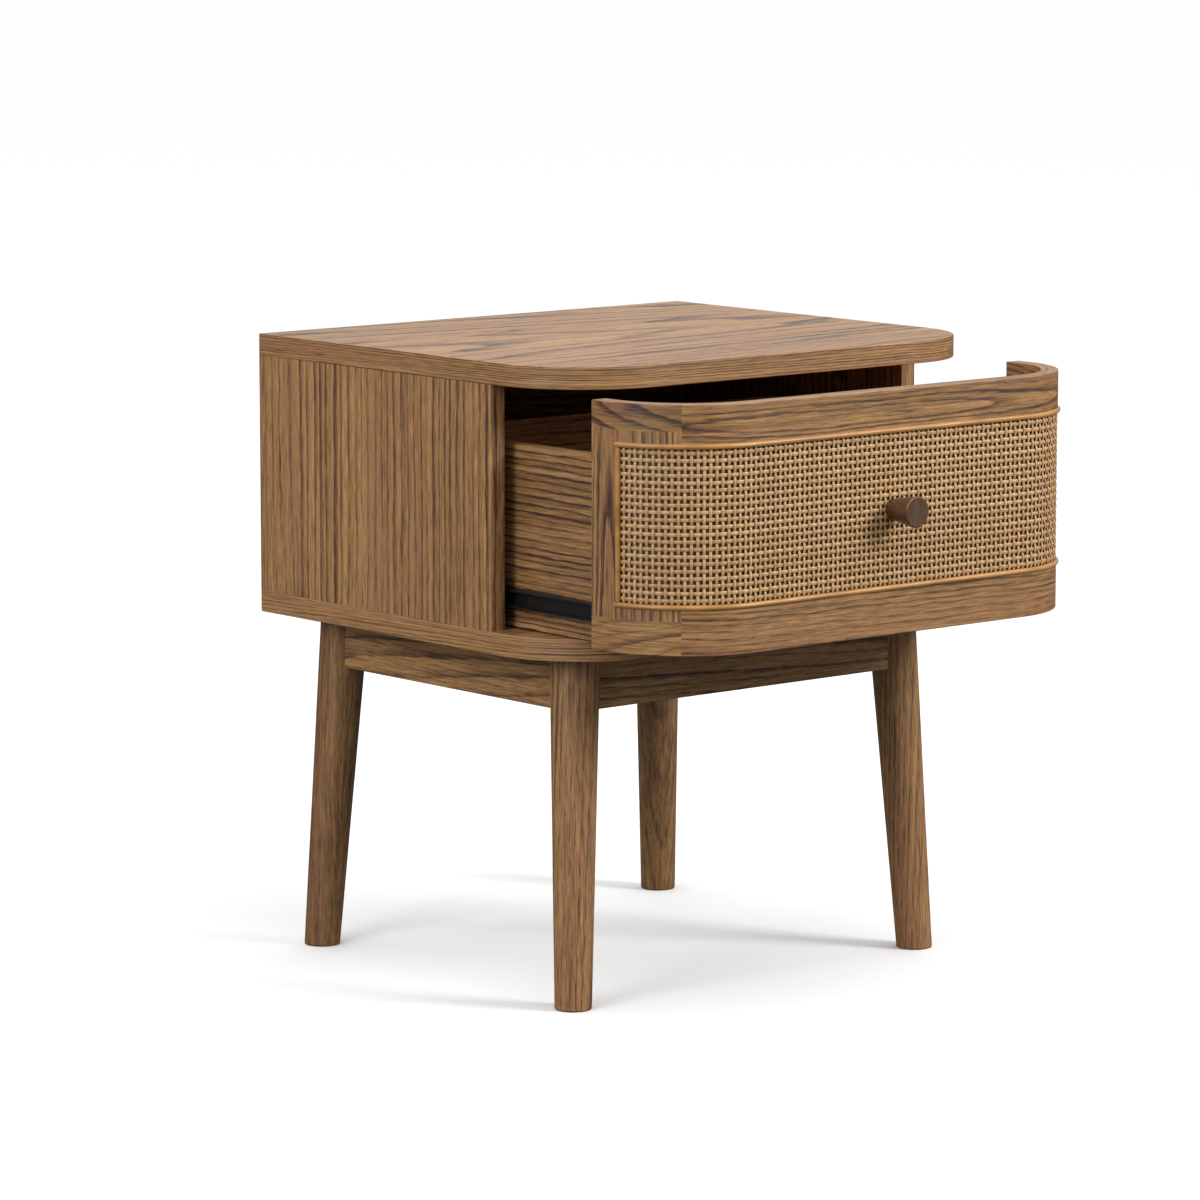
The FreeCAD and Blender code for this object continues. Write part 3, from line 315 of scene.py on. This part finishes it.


# boards that get painted shade on the recess floor behind the cane
paintedRecessShade = {"shade": caneFieldShade, "shadeColour": caneField["paintedShade"]}
# painted shade: darker copies of the wood colours for the back legs, which stand in the table's shadow
backLegShade = {"pale": linear(170, 130, 84), "golden": linear(140, 103, 64), "brown": linear(104, 74, 48),
          "blush": linear(138, 92, 68)}
turned = {"ringWidth": 4.5 * mm, "wave": 4 * mm, "wobble": 0.8 * mm, "lineDepth": 0.3}
flatSawn = {"ringWidth": 4.2 * mm, "wave": 12 * mm, "blushDepth": 0.5, "pale": linear(188, 145, 92),
            "golden": linear(156, 116, 70)}
# stronger grain lines and streaks, with the pale and golden tones darkened as painted shade for the drawer
# side in the side panel's shadow
streakyAndShaded = {"lineDepth": 1.0, "streakDepth": 1.7, "wave": 6 * mm, "golden": linear(148, 109, 68),
           "pale": linear(178, 137, 89)}
boards = {
    # node: (grain, seed, pith across and through, lean, changes to woodLook)
    "top_panel": (panel, 1, (0.10, 0.03), 0.03, {"wave": 14 * mm}),
    "bottom_panel": (panel, 2, (0.10, 0.20), 0.10, {}),
    "left_side_panel": (upright, 3, (0.55, 0.3), 0.0, {"wave": 5 * mm}),
    "right_side_panel": (upright, 4, (0.6, -0.3), 0.0, {"wave": 5 * mm}),
    "back_panel": (acrossX, 5, (0.4, 0.2), 0.05, {}),
    "front_apron": (acrossX, 6, (0.33, 0.0), 0.04, {}),
    "back_apron": (acrossX, 7, (0.3, 0.2), 0.04, {}),
    "left_apron": (backwards, 8, (0.20, -0.3), 0.05, {}),
    "right_apron": (backwards, 9, (0.35, 0.2), 0.05, {}),
    "drawer_front_board": (front, 10, (0.484, -0.002), 0.045, {**paintedRecessShade, **flatSawn}),
    "left_corner_top_rail": (front, 11, (0.52, 0.03), 0.12, flatSawn),
    "right_corner_top_rail": (front, 12, (0.52, 0.03), 0.12, flatSawn),
    "left_corner_bottom_rail": (front, 13, (0.28, 0.05), 0.10, flatSawn),
    "right_corner_bottom_rail": (front, 14, (0.28, 0.05), 0.10, flatSawn),
    "left_corner_panel": (frontUpright, 15, (-0.270, 0.012), 0.05, paintedRecessShade),
    "right_corner_panel": (frontUpright, 16, (0.272, 0.012), 0.05, paintedRecessShade),
    "left_drawer_side": (backwards, 17, (0.60, -0.25), 0.06, streakyAndShaded),
    "right_drawer_side": (backwards, 18, (0.36, 0.25), 0.06, {}),
    "drawer_box_front": (acrossX, 19, (0.3, 0.1), 0.06, {}),
    "drawer_back": (acrossX, 20, (0.33, 0.1), 0.06, {}),
    "drawer_bottom": (layingBack, 21, (0.05, 0.25), 0.10, {}),
    "front_left_leg": (uprightRound, 22, (-0.30, 0.10), 0.02, turned),
    "front_right_leg": (uprightRound, 23, (0.05, 0.12), 0.02, turned),
    "back_left_leg": (uprightRound, 24, (-0.35, 0.02), 0.02, {**turned, **backLegShade}),
    "back_right_leg": (uprightRound, 25, (0.30, 0.40), 0.02, {**turned, **backLegShade}),
}
for name, (grain, seed, pith, lean, changes) in boards.items():
    paint(woodMaterial(name + "_wood", grain, seed, pith, lean, **changes), name)

rawPieces = ["front_left_corner_block", "front_right_corner_block", "back_left_corner_block",
             "back_right_corner_block", "left_corner_post", "right_corner_post"]
for seed, name in enumerate(rawPieces, start=30):
    paint(woodMaterial(name + "_wood", uprightRound, seed, (0.3, 0.1), 0.05, **rawLook), name)
paint(woodMaterial("dowel_wood", acrossX, 40, (0.3, 0.1), 0.0, **rawLook),
      "frame_dowels", "box_dowels", "panel_dowels")
print("wood done:", len(boards), "boards")


# rattan bead, metal

bead = {
    "shaded": linear(170, 118, 62),
    "pale": linear(204, 150, 86),
    "fibre": linear(140, 92, 50),
    "roughness": 0.33,
    "varnish": 0.15,
}

knob = {
    "dark": linear(112, 89, 69),
    "light": linear(136, 111, 89),
    "brushed": linear(136, 114, 92),
    "roughness": 0.36,
    "metallic": 0.85,
}

steels = {
    # name: (dark, light, roughness, metallic, nodes)
    "black_slide_steel": (linear(8, 8, 9), linear(15, 15, 17), 0.45, 0.0,
                          ("left_slide_channel", "right_slide_channel",
                           "left_slide_runner", "right_slide_runner")),
    "dark_screw_steel": (linear(52, 48, 44), linear(92, 86, 80), 0.35, 0.9, ("runner_screws",)),
    "zinc_plated_steel": (linear(150, 150, 146), linear(196, 196, 190), 0.32, 1.0,
                          ("cam_bolts", "cam_discs", "channel_screws", "hanger_bolts", "hanger_nuts",
                           "frame_screws", "front_screws", "knob_screw", "left_ball_cage", "right_ball_cage",
                           "left_slide_balls", "right_slide_balls")),
}


def rattanMaterial():
    maker = Maker("rattan_bead")
    run, z, depth = roundOutline(maker, outline["drawerFront"])
    along = maker.join(run, z, depth)
    fibre = maker.noise(along, (60, 2500, 2500), 2) - 0.5
    patch = maker.noise(along, (28, 60, 60), 2)
    colour = maker.blend(((patch - 0.35) * 3).clamped(), bead["shaded"], bead["pale"])
    colour = maker.blend((fibre * 1.6 + 0.2).clamped() * 0.5, colour, bead["fibre"])
    return maker.finish(colour, bead["roughness"] + fibre * 0.2, fibre, bump=0.15, depth=0.1 * mm,
                        Coat_Weight=bead["varnish"], Coat_Roughness=0.25)


def bronzeMaterial():
    maker = Maker("brushed_bronze")
    place = maker.place()
    brush = maker.noise(place, (1000, 1000, 45), 2) - 0.5
    patch = maker.noise(place, (120, 120, 120), 2)
    colour = maker.blend(patch, knob["dark"], knob["light"])
    colour = maker.blend((brush * 3 + 0.3).clamped() * 0.6, colour, knob["brushed"])
    return maker.finish(colour, knob["roughness"] + brush * 0.3, brush, bump=0.15, depth=0.05 * mm,
                        Metallic=knob["metallic"])


def steelMaterial(name, dark, light, roughness, metallic):
    maker = Maker(name)
    place = maker.place()
    cloud = maker.noise(place, (90, 90, 90), 3)
    scratch = maker.noise(place, (1400, 40, 1400), 2) - 0.5
    colour = maker.blend(cloud, dark, light)
    return maker.finish(colour, roughness + scratch * 0.2 + cloud * 0.08, scratch, bump=0.08, depth=0.05 * mm,
                        Metallic=metallic)


paint(rattanMaterial(), "top_bead", "bottom_bead", "left_bead", "right_bead")
paint(bronzeMaterial(), "knob")
for name, (dark, light, roughness, metallic, pieces) in steels.items():
    paint(steelMaterial(name, dark, light, roughness, metallic), *pieces)
print("bead and metal done")


# cane: flat strands woven over and under, then wrapped round the outline of the drawer front

cane = {
    "rowPitch": 5.72 * mm,
    "columnPitch": 5.06 * mm,
    "rowWidth": 2.85 * mm,
    "columnWidth": 2.4 * mm,
    "thickness": 0.8 * mm,
    "rise": 0.52 * mm,       # of a strand's middle above or below the weave's middle plane
    "stepsPerCrossing": 4,
    "wander": 0.08 * mm,     # how far strands stray sideways
    "wanderTurns": 55,       # radians of that straying in a metre
    "sunk": 0.12 * mm,       # how far the weave's outer face lies under the front's surface
    "endGap": 1.2 * mm,      # from the middle of an end bead to the last crossing
    "smoothAngle": 50,
    "straw": linear(184, 138, 86),
    "pale": linear(224, 184, 130),
    "blush": linear(206, 160, 122),
    "fibre": linear(128, 88, 50),
    "crossing": linear(84, 56, 32),  # painted shade where strands dip under each other at the crossings
}


def strandMesh(name, pitch, width, crossings):
    # one strand along X, a flat lens in section, with a step for each quarter of a crossing
    bpy.ops.object.select_all(action="DESELECT")
    bpy.ops.mesh.primitive_cylinder_add(vertices=6, radius=0.5, depth=1, end_fill_type="NGON",
                                        rotation=(0, math.pi / 2, 0), location=(0.5, 0, 0))
    strand = bpy.context.object
    strand.name = name
    bpy.ops.object.transform_apply(location=True, rotation=True, scale=True)
    strand.scale = (pitch / cane["stepsPerCrossing"], width, cane["thickness"])
    bpy.ops.object.transform_apply(location=False, rotation=False, scale=True)
    bpy.ops.object.mode_set(mode="EDIT")
    bpy.ops.mesh.select_all(action="DESELECT")
    bpy.ops.object.mode_set(mode="OBJECT")
    for face in strand.data.polygons:
        face.select = abs(face.normal.x) > 0.9  # the ends go, so that the steps join into one strand
    bpy.ops.object.mode_set(mode="EDIT")
    bpy.ops.mesh.delete(type="ONLY_FACE")
    bpy.ops.object.mode_set(mode="OBJECT")
    steps = strand.modifiers.new("steps", "ARRAY")
    steps.count = crossings * cane["stepsPerCrossing"]
    steps.relative_offset_displace = (1, 0, 0)
    steps.use_merge_vertices = True
    steps.merge_threshold = 0.01 * mm
    bpy.ops.object.modifier_apply(modifier=steps.name)
    return strand


def closeEnds():
    bpy.ops.object.mode_set(mode="EDIT")
    bpy.ops.mesh.select_all(action="DESELECT")
    bpy.ops.mesh.select_non_manifold()
    bpy.ops.mesh.edge_face_add()
    bpy.ops.object.mode_set(mode="OBJECT")


def weaveSet(name, pitch, width, crossings, spacing, count, over, seed):
    # copies one strand into a whole set, waved over and under the other set
    strand = strandMesh(name, pitch, width, crossings)
    closeEnds()
    perStrand = len(strand.data.vertices)
    rows = strand.modifiers.new("rows", "ARRAY")
    rows.count = count
    rows.use_relative_offset, rows.use_constant_offset = False, True
    rows.constant_offset_displace = (0, spacing, 0)
    bpy.ops.object.modifier_apply(modifier=rows.name)
    stray = random.Random(seed)
    tones = strand.data.attributes.new("strandTone", "FLOAT", "POINT")
    lean = [stray.uniform(-1, 1) for _ in range(count)]
    tone = [stray.random() for _ in range(count)]
    phase = [stray.uniform(0, 2 * math.pi) for _ in range(count)]
    for index, vertex in enumerate(strand.data.vertices):
        row = index // perStrand
        turn = math.pi * vertex.co.x / pitch
        side = 1 if (row + over) % 2 else -1
        vertex.co.z += side * cane["rise"] * math.sin(turn)
        vertex.co.y += cane["wander"] * (lean[row] + math.sin(vertex.co.x * cane["wanderTurns"] + phase[row]))
        tones.data[index].value = tone[row]
    return strand


def wrap(strand, toFront):
    # takes (along the outline, up, outwards) to the drawer front's own surface
    radius, straight = outline["cornerRadius"], outline["straight"]
    deep = cane["thickness"] / 2 + cane["rise"] + cane["sunk"]
    for vertex in strand.data.vertices:
        run, up, out = toFront(vertex.co)
        reach = radius - deep + out
        side = 1 if run > 0 else -1
        turn = max(0.0, abs(run) - straight) / radius
        x = min(abs(run), straight) + reach * math.sin(turn)
        y = outline["drawerFront"] + radius - reach * math.cos(turn)
        vertex.co = Vector((side * x, y, up))
    strand.data.update()


def buildCane():
    rowPitch, columnPitch = cane["rowPitch"], cane["columnPitch"]
    halfRun = outline["straight"] + outline["cornerRadius"] * outline["beadTurn"] - cane["endGap"]
    columns = int(2 * halfRun / columnPitch)
    rows = int((caneHigh[2] - caneLow[2]) / rowPitch)
    startRun = -columns * columnPitch / 2
    startUp = (caneLow[2] + caneHigh[2]) / 2 - rows * rowPitch / 2
    weft = weaveSet("cane_weft", columnPitch, cane["rowWidth"], columns, rowPitch, rows, over=0, seed=5)
    wrap(weft, lambda co: (startRun + co.x, startUp + rowPitch / 2 + co.y, co.z))
    warp = weaveSet("cane_warp", rowPitch, cane["columnWidth"], rows, columnPitch, columns, over=1, seed=6)
    wrap(warp, lambda co: (startRun + columnPitch / 2 + co.y, startUp + co.x, co.z))
    for strand in (weft, warp):
        bpy.ops.object.select_all(action="DESELECT")
        strand.select_set(True)
        bpy.context.view_layer.objects.active = strand
        bpy.ops.object.mode_set(mode="EDIT")
        bpy.ops.mesh.select_all(action="SELECT")
        bpy.ops.mesh.normals_make_consistent(inside=False)
        bpy.ops.object.mode_set(mode="OBJECT")
        bpy.ops.object.shade_smooth_by_angle(angle=math.radians(cane["smoothAngle"]))
        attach(strand, "drawer")
    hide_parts("cane_webbing")
    return weft, warp


def caneMaterial(name, alongUp):
    maker = Maker(name)
    run, z, depth = roundOutline(maker, outline["drawerFront"])
    grain = maker.join(z, run, depth) if alongUp else maker.join(run, z, depth)
    tone = maker.add("ShaderNodeAttribute", {"attribute_name": "strandTone"}, None, "Fac")
    fibre = maker.noise(grain, (80, 3600, 3600), 2) - 0.5
    patch = maker.noise(grain, (30, 140, 140), 2)
    cloud = maker.noise(grain, (14, 14, 14), 2)
    colour = maker.blend(tone * 0.6 + patch * 0.5 - 0.05, cane["straw"], cane["pale"])
    colour = maker.blend(((cloud - 0.5) * 4).clamped() * 0.4, colour, cane["blush"])
    colour = maker.blend((fibre * 1.8 + 0.1).clamped() * 0.6, colour, cane["fibre"])
    # painted shade: strands darken with depth under the weave's face, in place of the shadow between crossing
    # strands
    colour = maker.blend((depth / (2.1 * mm) - 0.12).clamped() * 0.6, colour, cane["crossing"])
    return maker.finish(colour, 0.38 + fibre * 0.25, fibre, bump=0.2, depth=0.1 * mm)


weft, warp = buildCane()
weft.data.materials.append(caneMaterial("cane_weft_strands", False))
warp.data.materials.append(caneMaterial("cane_warp_strands", True))
print("cane done:", len(weft.data.polygons), "and", len(warp.data.polygons), "faces")


# floor, light and camera

studio = {
    "azimuth": 40.05,
    "elevation": 8.33,
    "distance": 4.6153,
    "target": (-0.0171, 0.0900, 0.2959),
    "lens": 165.64,
    "sensor": 36,
    "farthest": 100,
    "floorSize": 40,
    "floorSeen": (0.99, 0.99, 0.99, 1),
    "floorThrowsBack": (0.10, 0.097, 0.094, 1),  # it looks white but lights the underside of the table less
    "horizon": 0.20,  # brightness of the walls, and of the ceiling
    "zenith": 1.40,
    "lights": {
        # name: (place, size, power)
        "key": ((1.7, -2.7, 1.9), 1.1, 78),
        "left_fill": ((-3.2, -0.6, 1.5), 1.4, 42),
        "back_sheen": ((2.4, 3.0, 2.6), 1.6, 5),
    },
}


def buildFloor():
    bpy.ops.object.select_all(action="DESELECT")
    bpy.ops.mesh.primitive_plane_add(size=studio["floorSize"], location=(0, 0, 0))
    floor = bpy.context.object
    floor.name = "studio_floor"
    maker = Maker("pale_floor")
    seen = maker.add("ShaderNodeLightPath")
    floor.data.materials.append(maker.finish(
        maker.blend(seen, studio["floorThrowsBack"], studio["floorSeen"]), 0.9, Specular_IOR_Level=0.0))


def softLight(name, place, size, power):
    bpy.ops.object.light_add(type="AREA", location=place)
    light = bpy.context.object
    light.name = name
    light.data.energy, light.data.size = power, size
    aim = Vector(studio["target"]) - Vector(place)
    light.rotation_euler = aim.to_track_quat("-Z", "Y").to_euler()


def buildWorld():
    # the studio is brighter overhead than round its walls
    maker = Maker("studio", bpy.data.worlds)
    _, _, up = maker.split(maker.add("ShaderNodeTexCoord", None, None, "Generated"))
    glow = studio["horizon"] + up.clamped() * (studio["zenith"] - studio["horizon"])
    background = maker.add("ShaderNodeBackground", None, {"Color": maker.join(glow, glow, glow)})
    maker.add("ShaderNodeOutputWorld", None, {"Surface": background})
    bpy.context.scene.world = maker.made


def buildCamera():
    turn, down = math.radians(studio["azimuth"]), math.radians(studio["elevation"])
    ahead = Vector((math.sin(turn) * math.cos(down), math.cos(turn) * math.cos(down), -math.sin(down)))
    place = Vector(studio["target"]) - ahead * studio["distance"]
    bpy.ops.object.camera_add(location=place, rotation=(math.pi / 2 - down, 0, -turn))
    camera = bpy.context.object
    camera.data.lens = studio["lens"]
    camera.data.sensor_width = studio["sensor"]
    camera.data.clip_end = studio["farthest"]
    bpy.context.scene.camera = camera


buildFloor()
buildWorld()
for name, (place, size, power) in studio["lights"].items():
    softLight(name, place, size, power)
buildCamera()
bpy.context.scene.view_settings.view_transform = "Standard"
print("studio done")
